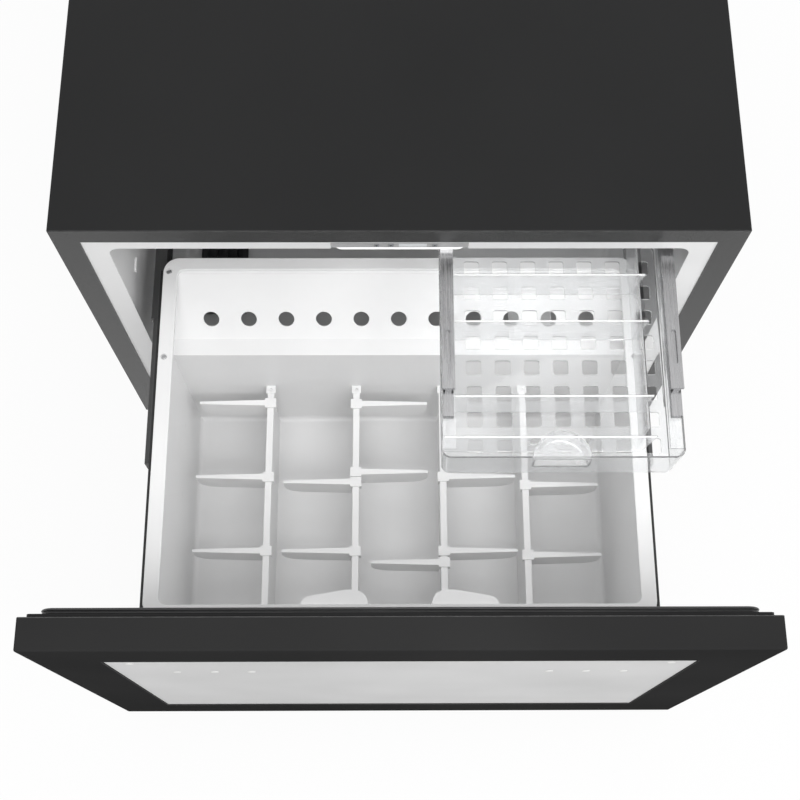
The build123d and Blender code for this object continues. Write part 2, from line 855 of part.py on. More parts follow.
def bin_solid(grow):
    """The bin's inside as one solid, grown outwards by a wall."""
    with BuildPart() as space:
        with BuildSketch(Plane.YZ):
            with BuildLine():
                Polyline(*bin_outline, close=True)
            make_face()
            if grow > 0:
                offset(amount=grow, kind=Kind.INTERSECTION)
        extrude(amount=bin_half + grow, both=True)
        floor_edges = space.faces().sort_by(Axis.Z)[0].edges()
        fillet(floor_edges, 8 + grow)
    return space.part


slope_angle = atan2(rim_z - ledge_z, rim_inner_back - slope_low_y)
hole_y = rim_inner_back - air_hole_down_slope * cos(slope_angle)
hole_z = rim_z - air_hole_down_slope * sin(slope_angle)
slope_plane = Plane(
    origin=(0, hole_y, hole_z), x_dir=(1, 0, 0), z_dir=(0, -sin(slope_angle), cos(slope_angle)),
)
pad_outline = (
    (-128.0, 0.0), (-104.0, 17.0), (-52.0, 21.0), (-41.0, 0.0),
)

with BuildPart() as bin_shell:
    add(bin_solid(bin_wall))
    block(
        -rim_outer + 1, rim_outer - 1, ahead(bin_front) + 1, behind(rim_back) - 1,
        bin_top, bin_top - bin_flange,
    )
    rear_corners = bin_shell.edges().filter_by(Axis.Z).group_by(Axis.Y)[-1]
    fillet(rear_corners, rim_corner - 1)
    block(
        -half_width, half_width, ahead(bin_front), behind(rim_back), bin_top, bin_top + 10,
        Mode.SUBTRACT,
    )
    add(bin_solid(0), mode=Mode.SUBTRACT)
    for side in (-1, 1):
        with BuildSketch(Plane.XY.offset(below(pad_drop) - 12)):
            with BuildLine():
                points = [(-side * x, bin_inner_front - 3 + y) for x, y in pad_outline]
                Spline(*points, tangents=[(0.0, 1.0), (0.0, -1.0)])
                Line(points[-1], points[0])
            make_face()
        extrude(amount=-pad_depth)
    with BuildSketch(slope_plane):
        with GridLocations(air_hole_pitch, 0, air_hole_count, 1):
            Circle(air_hole_radius)
    extrude(amount=-3 * bin_wall, mode=Mode.SUBTRACT)
save(bin_shell, "bin_shell")

rim_middle_y = (ahead(bin_front) + behind(rim_back)) / 2
rim_length = bin_front + rim_back
trim_screws = [
    (side * (rim_outer - rim_width / 2 + 2), y)
    for side in (-1, 1) for y in (behind(46), ahead(82))
]
screw_recess = 4.2
with BuildPart() as bin_trim:
    with BuildSketch(Plane.XY.offset(bin_top)):
        with Locations((0, rim_middle_y)):
            RectangleRounded(2 * rim_outer, rim_length, rim_corner)
            RectangleRounded(
                2 * (rim_outer - rim_width), rim_length - 2 * rim_width + 3.4,
                rim_corner - 12, mode=Mode.SUBTRACT,
            )
    extrude(amount=rim_thickness)
    fillet(bin_trim.faces().sort_by(Axis.Z)[-1].edges(), 1.5)
    with Locations(*[(x, y, bin_top + rim_thickness) for x, y in trim_screws]):
        Hole(screw_recess, depth=3)
save(bin_trim, "bin_trim")

with BuildPart() as trim_screw_heads:
    with BuildSketch(Plane.XY.offset(bin_top + rim_thickness - 3)):
        with Locations(*trim_screws):
            Circle(screw_recess - 0.6)
    extrude(amount=1.8)
    fillet(trim_screw_heads.edges().filter_by(GeomType.CIRCLE).group_by(Axis.Z)[-1], 0.8)
    for x, y in trim_screws:
        block(x - 2.4, x + 2.4, y - 0.5, y + 0.5, bin_top + rim_thickness - 2,
              bin_top + rim_thickness, Mode.SUBTRACT)
        block(x - 0.5, x + 0.5, y - 2.4, y + 2.4, bin_top + rim_thickness - 2,
              bin_top + rim_thickness, Mode.SUBTRACT)
save(trim_screw_heads, "trim_screw_heads")

# ================================================================ dividers and fins
cap_z = below(divider_cap_drop)
divider_back = ahead(bin_rear_wall)
divider_front = bin_inner_front - 3
with BuildPart() as divider_walls:
    for divider_x in divider_columns:
        block(
            divider_x - divider_plate / 2, divider_x + divider_plate / 2,
            divider_front + 8, divider_back - 8, bin_floor_z, cap_z - cap_thickness,
        )
        block(
            divider_x - cap_width / 2, divider_x + cap_width / 2,
            divider_front, divider_back, cap_z - cap_thickness, cap_z,
        )
        block(
            divider_x - 7, divider_x + 7, divider_back - 12, divider_back,
            cap_z - cap_thickness, cap_z + 1,
        )
        with Locations((divider_x, divider_back - 6.5, cap_z + 1)):
            Hole(2.6, depth=3.5)
    fillet(divider_walls.edges().filter_by(Axis.Y).group_by(Axis.Z)[-2], 1)
save(divider_walls, "divider_walls")


def fin(divider_x, middle_y, side):
    """A fin with a collar that clips over a divider's cap and slides along it."""
    collar_top = cap_z + 2.6
    collar_low = collar_top - collar_height
    cap_room = cap_width / 2 + fin_clearance
    root = side * (collar_width / 2 - 1)
    tip = side * fin_length
    with BuildPart() as made:
        block(
            divider_x - collar_width / 2, divider_x + collar_width / 2,
            middle_y - collar_length / 2, middle_y + collar_length / 2, collar_low, collar_top,
        )
        with BuildSketch(Plane.XY.offset(collar_top)):
            with BuildLine():
                Polyline(
                    (divider_x + root, middle_y - fin_root / 2),
                    (divider_x + tip, middle_y - fin_tip / 2),
                    (divider_x + tip, middle_y + fin_tip / 2),
                    (divider_x + root, middle_y + fin_root / 2), close=True,
                )
            make_face()
        extrude(amount=-fin_depth)
        tip_edges = made.edges().filter_by(Axis.Y)
        lower_tip = tip_edges.sort_by(lambda e: side * e.center().X - e.center().Z)[-1]
        fillet(lower_tip, 26)
        block(
            divider_x - cap_room, divider_x + cap_room,
            middle_y - collar_length, middle_y + collar_length,
            cap_z - cap_thickness - fin_clearance, cap_z + fin_clearance, Mode.SUBTRACT,
        )
        block(
            divider_x - divider_plate / 2 - fin_clearance,
            divider_x + divider_plate / 2 + fin_clearance,
            middle_y - collar_length, middle_y + collar_length,
            collar_low - 1, cap_z, Mode.SUBTRACT,
        )
    return made


fin_numbers = {}
for rail, distance, side in fins:
    fin_numbers[rail] = fin_numbers.get(rail, 0) + 1
    piece = fin(divider_columns[rail - 1], ahead(distance), side)
    save(piece, f"fin_{rail}_{fin_numbers[rail]}")

# ================================================================ clear tray
tray_rim_z = below(tray_rim_drop)
tray_x = tray_left + tray_width / 2
tray_back_y = ahead(tray_front) + tray_length
tray_middle_y = ahead(tray_front) + tray_length / 2
tray_floor_z = tray_rim_z - tray_height + tray_wall
holes_middle_x = tray_hole_first_column + (tray_hole_columns - 1) * tray_hole_column_pitch / 2
holes_middle_y = ahead(tray_hole_first_row) + (tray_hole_rows - 1) * tray_hole_row_pitch / 2

with BuildPart() as clear_tray:
    with BuildSketch(Plane.XY.offset(tray_rim_z)):
        with Locations((tray_x, tray_middle_y)):
            RectangleRounded(tray_width, tray_length, tray_corner)
    extrude(amount=-tray_height, taper=tray_draft)
    fillet(clear_tray.faces().sort_by(Axis.Z)[0].edges(), 5)
    with BuildSketch(Plane.XY.offset(tray_rim_z)):
        with Locations((tray_x, tray_middle_y)):
            RectangleRounded(
                tray_width - 2 * tray_wall, tray_length - 2 * tray_wall, tray_corner - tray_wall,
            )
    extrude(amount=-tray_height + tray_wall, taper=tray_draft, mode=Mode.SUBTRACT)
    for side in (-1, 1):
        edge_x = tray_x + side * (tray_width / 2 - 1)
        block(
            edge_x, edge_x - side * (tray_flange - 1), ahead(tray_front - tray_corner),
            tray_back_y - tray_corner, tray_rim_z - tray_wall, tray_rim_z,
        )
    with BuildSketch(Plane.XY.offset(tray_floor_z)):
        with Locations((holes_middle_x, holes_middle_y)):
            with GridLocations(
                tray_hole_column_pitch, tray_hole_row_pitch, tray_hole_columns, tray_hole_rows,
            ):
                RectangleRounded(tray_hole, tray_hole, tray_hole_round)
    extrude(amount=-2 * tray_wall, mode=Mode.SUBTRACT)
    pull_y = ahead(tray_front) + tray_wall + 0.6
    pull_z = tray_rim_z - pull_drop
    with BuildSketch(Plane.XY.offset(pull_z)):
        with Locations((tray_x, pull_y)):
            Circle(pull_radius)
            with Locations((0, -pull_radius / 2)):
                Rectangle(3 * pull_radius, pull_radius, mode=Mode.SUBTRACT)
    extrude(amount=-30)
    with BuildSketch(Plane.XY.offset(pull_z - tray_wall)):
        with Locations((tray_x, pull_y - 3)):
            Circle(pull_radius - tray_wall)
            with Locations((0, -pull_radius / 2)):
                Rectangle(3 * pull_radius, pull_radius, mode=Mode.SUBTRACT)
    extrude(amount=-30, mode=Mode.SUBTRACT)
    block(
        tray_x - pull_slot_width / 2, tray_x + pull_slot_width / 2,
        ahead(tray_front + 3), ahead(tray_front - 8),
        pull_z - 6 - pull_slot_height, pull_z - 6, Mode.SUBTRACT,
    )
save(clear_tray, "clear_tray")

partition_low = tray_floor_z
partition_left = tray_left + 5
with BuildPart() as tray_partitions:
    block(
        long_partition - 1.1, long_partition + 1.1, ahead(tray_front) + 42, tray_back_y - 6,
        partition_low, partition_low + partition_height,
    )
    for row in partition_rows:
        with BuildSketch(upright(ahead(row) - 1)):
            with BuildLine():
                Polyline(
                    (partition_left, partition_low), (long_partition, partition_low),
                    (long_partition + 10, partition_low + partition_height),
                    (partition_left - 1.5, partition_low + partition_height), close=True,
                )
            make_face()
        extrude(amount=-2)
    block(
        tray_x - pull_radius - 1, tray_x + pull_radius + 1, ahead(tray_front), pull_y + pull_radius + 1,
        pull_z - 31, pull_z + 1, Mode.SUBTRACT,
    )
save(tray_partitions, "tray_partitions")

# ---------------------------------------------------------------- tray rails and runners
rail_low = opening_high - tray_rail_height
runner_bar_low = tray_rim_z + runner_over_tray
rail_columns = [tray_x + side * (tray_width / 2 - tray_rail_inset) for side in (-1, 1)]
rail_y0 = behind(tray_rail_front)
rail_y1 = rail_y0 + tray_rail_length
with BuildPart() as tray_rails:
    for rail_x in rail_columns:
        block(
            rail_x - tray_rail_half, rail_x + tray_rail_half, rail_y0, rail_y1,
            rail_low, opening_high,
        )
        block(
            rail_x - tray_rail_half + tray_rail_wall, rail_x + tray_rail_half - tray_rail_wall,
            rail_y0, rail_y1 - 6, rail_low + tray_rail_wall, opening_high - 2, Mode.SUBTRACT,
        )
        block(
            rail_x - tray_rail_slot, rail_x + tray_rail_slot, rail_y0, rail_y1 - 6,
            rail_low, rail_low + tray_rail_wall, Mode.SUBTRACT,
        )
save(tray_rails, "tray_rails")

head_half = tray_rail_half - tray_rail_wall - member_gap
head_low = rail_low + tray_rail_wall + member_gap
runner_y0 = ahead(runner_front)
runner_y1 = runner_y0 + runner_length
with BuildPart() as tray_runners:
    for rail_x in rail_columns:
        block(
            rail_x - head_half, rail_x + head_half, runner_y0 + 32, runner_y1,
            head_low, head_low + runner_head_height,
        )
        block(
            rail_x - tray_rail_slot + member_gap, rail_x + tray_rail_slot - member_gap,
            runner_y0 + 32, runner_y1, runner_bar_low + runner_bar_height - 1, head_low,
        )
        block(
            rail_x - runner_bar_half, rail_x + runner_bar_half, runner_y0, runner_y1,
            runner_bar_low, runner_bar_low + runner_bar_height,
        )
        with BuildSketch(Plane.XY.offset(head_low + runner_head_height)):
            with Locations((rail_x, ahead(128))):
                SlotOverall(46, 6, rotation=90)
        extrude(amount=-3, mode=Mode.SUBTRACT)
save(tray_runners, "tray_runners")

# ================================================================ machine compartment
machine_y = behind((machine_front + sheet + cabinet_depth - back_inset - sheet) / 2)
grommets = [
    (compressor_column + dx, machine_y + dy) for dx in (-75, 75) for dy in (-40, 40)
]
compressor_base_z = base_high + grommet_height
with BuildPart() as compressor_grommets:
    with Locations(*[(x, y, base_high) for x, y in grommets]):
        Cylinder(9, grommet_height, align=(Align.CENTER, Align.CENTER, Align.MIN))
    fillet(compressor_grommets.edges().filter_by(GeomType.CIRCLE), 2)
save(compressor_grommets, "compressor_grommets")

with BuildPart() as compressor:
    with Locations((compressor_column, machine_y, compressor_base_z + 4)):
        Cylinder(
            compressor_radius, compressor_height, align=(Align.CENTER, Align.CENTER, Align.MIN),
        )
    fillet(compressor.edges().filter_by(GeomType.CIRCLE), 24)
    with Locations((compressor_column, machine_y, compressor_base_z + compressor_height * 0.55)):
        Cylinder(compressor_radius + 2, 5)
    with Locations((compressor_column, machine_y, compressor_base_z)):
        Box(176, 104, 4, align=(Align.CENTER, Align.CENTER, Align.MIN))
    with Locations((compressor_column, machine_y, compressor_base_z + 4)):
        Cylinder(30, 10, align=(Align.CENTER, Align.CENTER, Align.MIN))
save(compressor, "compressor")

pan_high = base_high + 16
with BuildPart() as drip_pan:
    block(-385, -95, machine_y - 52, machine_y + 52, base_high, pan_high)
    fillet(drip_pan.edges().filter_by(Axis.Z), 10)
    offset(amount=-1.5, openings=drip_pan.faces().sort_by(Axis.Z)[-1])
save(drip_pan, "drip_pan")

condenser_heights = [pan_high + 24 + 30 * i for i in range(5)]
condenser_bracket = rear_face - sheet
condenser_coil = coil(-375, -110, machine_y, condenser_heights, 60, 9, 0.8, condenser_bracket)
save(condenser_coil, "condenser_coil")

condenser_fan_foot = 24.0
condenser_fan_z = base_high + 50 + 4 + condenser_fan_foot
condenser_fan_plane = Plane(
    origin=(-60, machine_y, condenser_fan_z), x_dir=(0, 0, 1), z_dir=(-1, 0, 0),
)
condenser_fan_housing = fan_housing(condenser_fan_plane, 50, 34, condenser_fan_foot)
save(condenser_fan_housing, "condenser_fan_housing")
condenser_fan = fan_rotor(condenser_fan_plane, 49, 34, 5)
save(condenser_fan, "condenser_fan")

with BuildPart() as filter_dryer:
    with Locations(Location((95, machine_y + 30, base_high), (0, 0, 0))):
        Cylinder(9, 100, align=(Align.CENTER, Align.CENTER, Align.MIN))
    fillet(filter_dryer.edges().filter_by(GeomType.CIRCLE), 4)
save(filter_dryer, "filter_dryer")


def pipe(points, radius, bend):
    """A copper pipe along straight runs with round bends."""
    with BuildPart() as made:
        with BuildLine() as path:
            FilletPolyline(*points, radius=bend)
        with BuildSketch(Plane(origin=path.line @ 0, z_dir=path.line % 0)):
            Circle(radius)
        sweep(path=path.line)
    return made.part


pipe_start_z = compressor_base_z + 92
pipe_run_z = condenser_heights[-1] + 42
with BuildPart() as refrigerant_pipes:
    add(pipe(
        [
            (compressor_column - compressor_radius - 0.5, machine_y, pipe_start_z),
            (150, machine_y, pipe_start_z), (150, machine_y, pipe_run_z),
            (-392, machine_y, pipe_run_z),
            (-392, machine_y, condenser_heights[-1] + 14),
        ], 3, 12,
    ))
    add(pipe(
        [
            (compressor_column + compressor_radius + 0.5, machine_y, pipe_start_z),
            (320, machine_y, pipe_start_z), (320, machine_y, below(machine_ceiling) - sheet - 0.3),
        ], 4, 12,
    ))
save(refrigerant_pipes, "refrigerant_pipes")

inlet_x = 392.0
inlet_z = base_high + 40
with BuildPart() as power_inlet:
    block(
        inlet_x - 14, inlet_x + 14, rear_face - sheet - 24, rear_face - sheet,
        inlet_z - 17, inlet_z + 17,
    )
    fillet(power_inlet.edges().filter_by(Axis.Y), 3)
save(power_inlet, "power_inlet")
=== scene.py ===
import json
import math

import bmesh
import bpy
from mathutils import Matrix, Vector

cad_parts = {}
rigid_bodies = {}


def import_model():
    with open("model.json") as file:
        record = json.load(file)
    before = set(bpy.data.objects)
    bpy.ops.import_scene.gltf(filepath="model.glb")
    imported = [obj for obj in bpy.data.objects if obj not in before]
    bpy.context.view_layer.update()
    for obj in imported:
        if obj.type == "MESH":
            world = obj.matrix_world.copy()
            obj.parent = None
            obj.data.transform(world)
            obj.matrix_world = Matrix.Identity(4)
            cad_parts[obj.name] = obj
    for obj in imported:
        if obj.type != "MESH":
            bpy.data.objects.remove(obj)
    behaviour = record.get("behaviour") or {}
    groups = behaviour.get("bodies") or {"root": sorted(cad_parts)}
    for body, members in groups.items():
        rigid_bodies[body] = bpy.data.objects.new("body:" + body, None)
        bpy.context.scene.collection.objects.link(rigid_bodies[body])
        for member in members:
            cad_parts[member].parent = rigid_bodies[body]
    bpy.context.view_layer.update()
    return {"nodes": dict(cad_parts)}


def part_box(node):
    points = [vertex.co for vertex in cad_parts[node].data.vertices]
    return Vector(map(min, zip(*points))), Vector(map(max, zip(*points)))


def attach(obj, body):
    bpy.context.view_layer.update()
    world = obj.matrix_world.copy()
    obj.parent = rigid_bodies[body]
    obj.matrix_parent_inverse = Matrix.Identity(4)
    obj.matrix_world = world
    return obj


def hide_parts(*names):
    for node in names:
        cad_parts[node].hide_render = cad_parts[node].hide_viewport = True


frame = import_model()
nodes = frame["nodes"]
scene = bpy.context.scene


# ---------------------------------------------------------------- finishes

class Finish:
    """A material with one Principled shader and short calls for its grain, wear and bump."""

    def __init__(self, name):
        self.material = bpy.data.materials.new(name)
        self.material.use_nodes = True
        self.tree = self.material.node_tree
        self.shader = next(n for n in self.tree.nodes if n.type == "BSDF_PRINCIPLED")
        self.output = next(n for n in self.tree.nodes if n.type == "OUTPUT_MATERIAL")
        self.place = self.tree.nodes.new("ShaderNodeTexCoord").outputs["Object"]

    def new(self, kind):
        return self.tree.nodes.new(kind)

    def join(self, source, target):
        self.tree.links.new(source, target)

    def stretched(self, stretch):
        mapping = self.new("ShaderNodeMapping")
        mapping.inputs["Scale"].default_value = stretch
        self.join(self.place, mapping.inputs["Vector"])
        return mapping.outputs["Vector"]

    def noise(self, per_metre, detail=3.0, roughness=0.55, stretch=(1, 1, 1)):
        texture = self.new("ShaderNodeTexNoise")
        texture.inputs["Scale"].default_value = per_metre
        texture.inputs["Detail"].default_value = detail
        texture.inputs["Roughness"].default_value = roughness
        self.join(self.stretched(stretch), texture.inputs["Vector"])
        return texture.outputs["Fac"]

    def pebbles(self, per_metre):
        texture = self.new("ShaderNodeTexVoronoi")
        texture.inputs["Scale"].default_value = per_metre
        self.join(self.place, texture.inputs["Vector"])
        return texture.outputs["Distance"]

    def spread(self, value, low, high, to_low=0.0, to_high=1.0):
        ranged = self.new("ShaderNodeMapRange")
        ranged.inputs["From Min"].default_value = low
        ranged.inputs["From Max"].default_value = high
        ranged.inputs["To Min"].default_value = to_low
        ranged.inputs["To Max"].default_value = to_high
        self.join(value, ranged.inputs["Value"])
        return ranged.outputs["Result"]

    def blend(self, share, first, second):
        mix = self.new("ShaderNodeMix")
        mix.data_type = "RGBA"
        self.join(share, mix.inputs[0])
        for value, socket in ((first, mix.inputs[6]), (second, mix.inputs[7])):
            if isinstance(value, tuple):
                socket.default_value = (*value, 1)
            else:
                self.join(value, socket)
        return mix.outputs[2]

    def add(self, first, second, kind="ADD"):
        maths = self.new("ShaderNodeMath")
        maths.operation = kind
        for value, socket in ((first, maths.inputs[0]), (second, maths.inputs[1])):
            if isinstance(value, (int, float)):
                socket.default_value = value
            else:
                self.join(value, socket)
        return maths.outputs[0]

    def edge_wear_and_highlight(self, radius):
        """1 on rounded-over edges and 0 on flat faces: the mask for edge wear and the painted edge highlight."""
        bevel = self.new("ShaderNodeBevel")
        bevel.samples = 4
        bevel.inputs["Radius"].default_value = radius
        flat = self.new("ShaderNodeNewGeometry")
        dot = self.new("ShaderNodeVectorMath")
        dot.operation = "DOT_PRODUCT"
        self.join(bevel.outputs["Normal"], dot.inputs[0])
        self.join(flat.outputs["Normal"], dot.inputs[1])
        return self.spread(dot.outputs["Value"], 0.97, 0.80)

    def raise_grain(self, height, strength, depth):
        bump = self.new("ShaderNodeBump")
        bump.inputs["Strength"].default_value = strength
        bump.inputs["Distance"].default_value = depth
        self.join(height, bump.inputs["Height"])
        self.join(bump.outputs["Normal"], self.shader.inputs["Normal"])

    def paint(self, colour, roughness):
        self.join(colour, self.shader.inputs["Base Color"])
        self.join(roughness, self.shader.inputs["Roughness"])

    def constant(self, **values):
        for name, value in values.items():
            self.shader.inputs[name.replace("_", " ").title().replace("Ior", "IOR")].default_value = value


def powder_coat(name, dark, light, edge_highlight_and_speck, rough, edge_radius=0.0011, gloss=0.24):
    """Fine textured black coat: pebbled grain, cloudy sheen, and rubbed edges painted lighter, partly wear and
    partly a painted edge highlight.
    """
    f = Finish(name)
    grain = f.noise(1500, 4)
    cloud = f.noise(2.6, 2)
    pebble = f.pebbles(1900)
    rub = f.noise(60, 5, 0.7, (1, 6, 1))
    tone = f.add(f.spread(cloud, 0.3, 0.7, 0.0, 0.5), f.spread(grain, 0.35, 0.65, 0.0, 0.5))
    coat = f.blend(tone, dark, light)
    speck = f.blend(f.spread(pebble, 0.05, 0.0), coat, edge_highlight_and_speck)
    # Rounded edges take the lighter edge colour: partly rubbed wear, partly a painted highlight for the bright line
    # that light picks out along the edges.
    rubbed_and_highlit = f.add(f.edge_wear_and_highlight(edge_radius), f.spread(rub, 0.35, 0.65, 0.55, 1.0), "MULTIPLY")
    f.paint(f.blend(rubbed_and_highlit, speck, edge_highlight_and_speck), f.spread(grain, 0.3, 0.7, rough - 0.07, rough + 0.09))
    f.raise_grain(f.add(pebble, grain), 0.28, 0.00025)
    f.constant(specular_ior_level=gloss)
    return f.material


def moulded(name, base, shade, rough, bump=0.12, per_metre=700, scratch=0.03, gloss=0.45):
    """Moulded plastic: sink-mark clouds, faint mould grain and fine scuffs."""
    f = Finish(name)
    cloud = f.noise(9, 3)
    grain = f.noise(per_metre, 3)
    scuff = f.noise(220, 6, 0.75, (1, 0.08, 1))
    colour = f.blend(f.spread(cloud, 0.3, 0.7), base, shade)
    marks = tuple(max(0.0, c - scratch) for c in shade)
    coloured = f.blend(f.spread(scuff, 0.66, 0.76, 0, 0.6), colour, marks)
    f.paint(coloured, f.spread(scuff, 0.3, 0.75, rough - 0.05, rough + 0.12))
    f.raise_grain(grain, bump, 0.0002)
    f.constant(specular_ior_level=gloss)
    return f.material


def grained_sheet(name, base, dark, rough):
    """Pale door sheet: a dry grain of fine light and dark flecks."""
    f = Finish(name)
    fleck = f.noise(520, 6, 0.8)
    cloud = f.noise(4, 2)
    colour = f.blend(f.spread(fleck, 0.40, 0.60), dark, base)
    light = tuple(min(1.0, c * 1.07) for c in base)
    f.paint(f.blend(f.spread(cloud, 0.35, 0.65), colour, light), f.spread(fleck, 0.3, 0.7, rough, rough + 0.2))
    f.raise_grain(fleck, 0.25, 0.0003)
    return f.material


def plated(name, base, dark, rough, stretch, per_metre=900):
    """Plated or drawn metal with a lengthwise grain and dull patches."""
    f = Finish(name)
    lines = f.noise(per_metre, 4, 0.6, stretch)
    patch = f.noise(28, 3)
    colour = f.blend(f.spread(lines, 0.3, 0.7), dark, base)
    tone = f.blend(f.spread(patch, 0.5, 0.75, 0, 0.5), colour, dark)
    f.paint(tone, f.spread(lines, 0.25, 0.75, rough - 0.06, rough + 0.12))
    f.raise_grain(lines, 0.15, 0.0001)
    f.constant(metallic=1.0)
    return f.material


def spangled(name, base, dark):
    """Galvanised sheet with large zinc spangles."""
    f = Finish(name)
    spangle = f.new("ShaderNodeTexVoronoi")
    spangle.inputs["Scale"].default_value = 130
    f.join(f.place, spangle.inputs["Vector"])
    crystal = f.new("ShaderNodeSeparateColor")
    f.join(spangle.outputs["Color"], crystal.inputs["Color"])
    fine = f.noise(600, 4)
    dullness = f.add(f.spread(crystal.outputs["Green"], 0, 1, 0.26, 0.42), f.spread(fine, 0.3, 0.7, 0, 0.08))
    f.paint(f.blend(crystal.outputs["Red"], dark, base), dullness)
    f.raise_grain(fine, 0.08, 0.0002)
    f.constant(metallic=1.0)
    return f.material


def rubber(name, base, light, rough):
    f = Finish(name)
    fine = f.noise(900, 4)
    bloom = f.noise(14, 4)
    f.paint(f.blend(f.spread(bloom, 0.4, 0.75), base, light), f.spread(fine, 0.3, 0.7, rough, rough + 0.14))
    f.raise_grain(fine, 0.16, 0.0002)
    return f.material


def clear_moulding(name, tint, rough, lamp_share, clearness):
    """Clear styrene: smooth flow lines, slight haze and edges that pick up light."""
    f = Finish(name)
    flow = f.noise(34, 3, 0.5, (1, 0.4, 1))
    haze = f.noise(240, 5)
    thin_tint = tuple(min(1.0, c + 0.02) for c in tint)
    f.paint(f.blend(f.spread(flow, 0.3, 0.7), tint, thin_tint), f.spread(haze, 0.45, 0.75, rough, rough + 0.05))
    f.raise_grain(flow, 0.12, 0.0012)
    f.constant(ior=1.49)
    f.shader.inputs["Transmission Weight"].default_value = clearness
    path = f.new("ShaderNodeLightPath")
    through = f.new("ShaderNodeBsdfTransparent")
    through.inputs["Color"].default_value = (lamp_share, lamp_share, lamp_share, 1)
    mix = f.new("ShaderNodeMixShader")
    f.join(path.outputs["Is Shadow Ray"], mix.inputs[0])
    f.join(f.shader.outputs[0], mix.inputs[1])
    f.join(through.outputs[0], mix.inputs[2])
    f.join(mix.outputs[0], f.output.inputs["Surface"])
    return f.material


def foam(name, base, dark):
    f = Finish(name)
    cells = f.pebbles(650)
    skin = f.noise(22, 5)
    f.paint(f.blend(f.spread(skin, 0.3, 0.7), base, dark), f.spread(cells, 0.0, 0.8, 0.8, 0.95))
    f.raise_grain(cells, 0.5, 0.0006)
    return f.material


# Each coat gives a dark colour, a light colour, and a lighter colour used for specks and for the painted edge
# highlight on rounded edges.
cabinet_coat = powder_coat(
    "cabinet_powder_coat", (0.0095, 0.0097, 0.010), (0.0155, 0.0157, 0.016), (0.16, 0.16, 0.161), 0.50, 0.0014, 0.15,
)
frame_coat = powder_coat(
    "frame_powder_coat", (0.009, 0.0091, 0.0093), (0.015, 0.0151, 0.0153), (0.14, 0.14, 0.14), 0.30, 0.0016, 0.5,
)
door_coat = powder_coat(
    "door_powder_coat", (0.020, 0.020, 0.0202), (0.036, 0.036, 0.0362), (0.16, 0.16, 0.16), 0.40, 0.0016, 0.0,
)
liner_white = moulded("liner_white_plastic", (0.87, 0.87, 0.87), (0.84, 0.84, 0.842), 0.34, 0.05)
bin_white = moulded("bin_white_plastic", (0.90, 0.90, 0.90), (0.87, 0.87, 0.872), 0.32, 0.05)
# The trim is the bin's white plastic painted a little darker: painted shade that keeps the strongly lit rim from
# outshining the bin's cells.
painted_shade_trim = moulded("painted_shade_trim_plastic", (0.83, 0.83, 0.83), (0.80, 0.80, 0.802), 0.34, 0.05)
divider_white = moulded("divider_white_plastic", (0.91, 0.91, 0.91), (0.88, 0.88, 0.88), 0.36, 0.05)
panel_grey = moulded("panel_grey_plastic", (0.46, 0.46, 0.465), (0.40, 0.40, 0.405), 0.30, 0.06)
button_grey = moulded("button_grey_plastic", (0.30, 0.31, 0.32), (0.25, 0.26, 0.27), 0.36, 0.08)
vent_dark = moulded("vent_dark_plastic", (0.025, 0.025, 0.026), (0.018, 0.018, 0.019), 0.48, 0.2, scratch=0.0)
fan_grey = moulded("fan_grey_plastic", (0.13, 0.135, 0.14), (0.10, 0.105, 0.11), 0.42, 0.15)
lining_black = moulded(
    "door_lining_black_plastic", (0.013, 0.013, 0.0135), (0.018, 0.018, 0.0185), 0.42, 0.1,
    scratch=0.0, gloss=0.10,
)
foot_black = moulded("foot_black_plastic", (0.02, 0.02, 0.02), (0.03, 0.03, 0.03), 0.5, 0.2, scratch=0.0)
plug_white = moulded("plug_white_plastic", (0.74, 0.74, 0.73), (0.68, 0.68, 0.67), 0.4, 0.05)
pale_sheet = grained_sheet("door_pale_sheet", (0.555, 0.555, 0.555), (0.50, 0.50, 0.50), 0.5)
slide_black = powder_coat("slide_black_coat", (0.016, 0.016, 0.016), (0.026, 0.026, 0.026), (0.16, 0.16, 0.16), 0.38, 0.0006)
rail_grey = powder_coat("slide_rail_grey_coat", (0.075, 0.075, 0.076), (0.10, 0.10, 0.101), (0.2, 0.2, 0.2), 0.42, 0.0006)
slide_steel = plated("tray_slide_zinc", (0.34, 0.34, 0.345), (0.25, 0.25, 0.255), 0.24, (1, 0.03, 1))
screw_steel = plated("screw_zinc", (0.66, 0.66, 0.67), (0.45, 0.45, 0.46), 0.28, (1, 1, 1), 1500)
coil_metal = plated("coil_aluminium", (0.72, 0.73, 0.74), (0.52, 0.53, 0.54), 0.36, (0.05, 1, 1))
copper_tube = plated("tube_copper", (0.72, 0.36, 0.22), (0.44, 0.22, 0.13), 0.30, (1, 1, 0.1))
zinc_sheet = spangled("galvanised_sheet", (0.60, 0.61, 0.62), (0.42, 0.43, 0.44))
pump_enamel = moulded("pump_black_enamel", (0.012, 0.012, 0.013), (0.02, 0.02, 0.021), 0.22, 0.12, 300, 0.0, 0.6)
gasket_black = rubber("gasket_black_rubber", (0.012, 0.012, 0.0125), (0.022, 0.022, 0.023), 0.30)
mark_dark = moulded("mark_dark_ink", (0.03, 0.03, 0.032), (0.04, 0.04, 0.042), 0.4, 0.05, scratch=0.0)
mount_rubber = rubber("mount_grey_rubber", (0.05, 0.05, 0.05), (0.08, 0.08, 0.08), 0.6)
tray_clear = clear_moulding("tray_clear_styrene", (0.885, 0.89, 0.895), 0.02, 0.96, 0.91)
partition_clear = clear_moulding("partition_clear_styrene", (0.925, 0.93, 0.935), 0.03, 0.96, 0.86)
